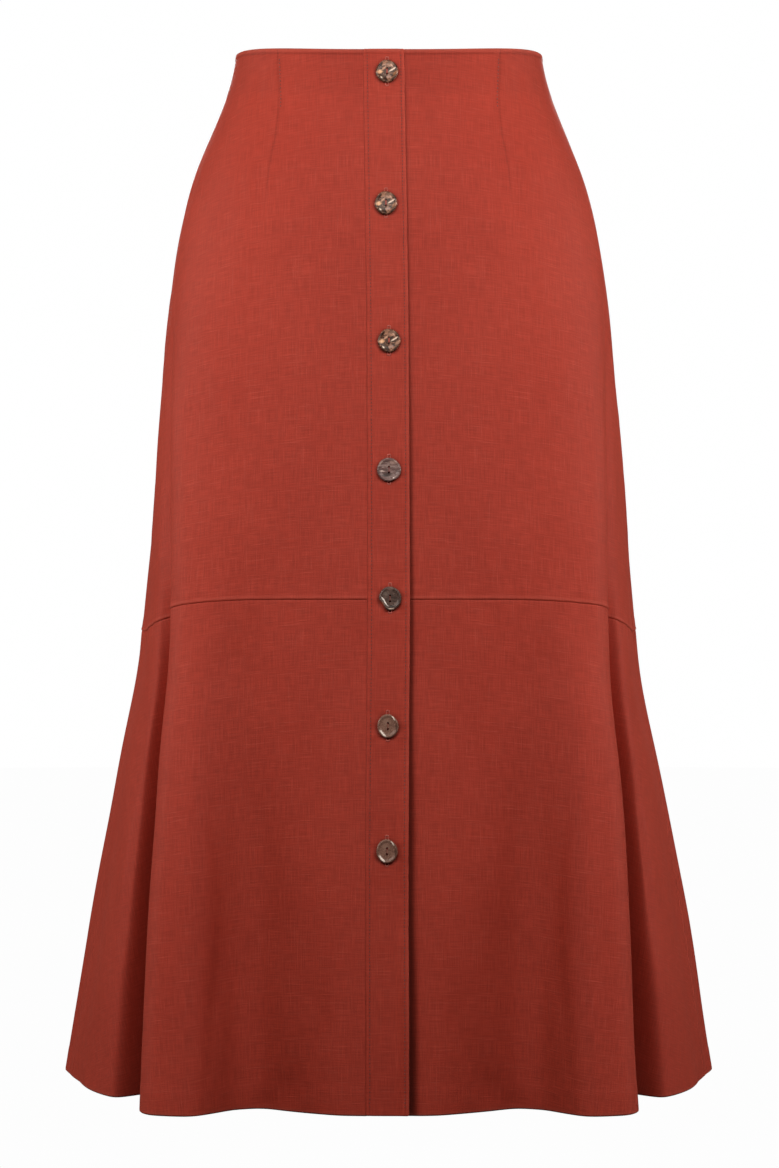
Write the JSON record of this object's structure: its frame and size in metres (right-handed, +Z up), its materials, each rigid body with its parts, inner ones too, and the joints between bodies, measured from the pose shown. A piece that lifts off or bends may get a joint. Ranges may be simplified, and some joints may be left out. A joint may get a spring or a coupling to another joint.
{
  "type": "a-line midi skirt",
  "caption": "A-line midi skirt, worn form, hollow and open at waist and hem, with a button band down the front and a flared flounce.",
  "frame": {"origin": "the middle of the waist opening, level with the top edge at the centre front", "axes": "+Z up, -Y towards the front of the skirt, +X towards the wearer's left"},
  "size_m": [0.5408, 0.4164, 0.8385],
  "materials": {
    "linen": "matt plain-woven linen, rust red",
    "button_shell": "polished, streaked brown"
  },
  "bodies": {
    "root": {"front_panel_right": "linen", "front_panel_left": "linen", "back_panel": "linen", "front_flounce_right": "linen", "front_flounce_left": "linen", "back_flounce": "linen", "button_band": "linen", "button_stand": "linen", "button_1": "button_shell", "button_2": "button_shell", "button_3": "button_shell", "button_4": "button_shell", "button_5": "button_shell", "button_6": "button_shell", "button_7": "button_shell"}
  },
  "joints": []
}
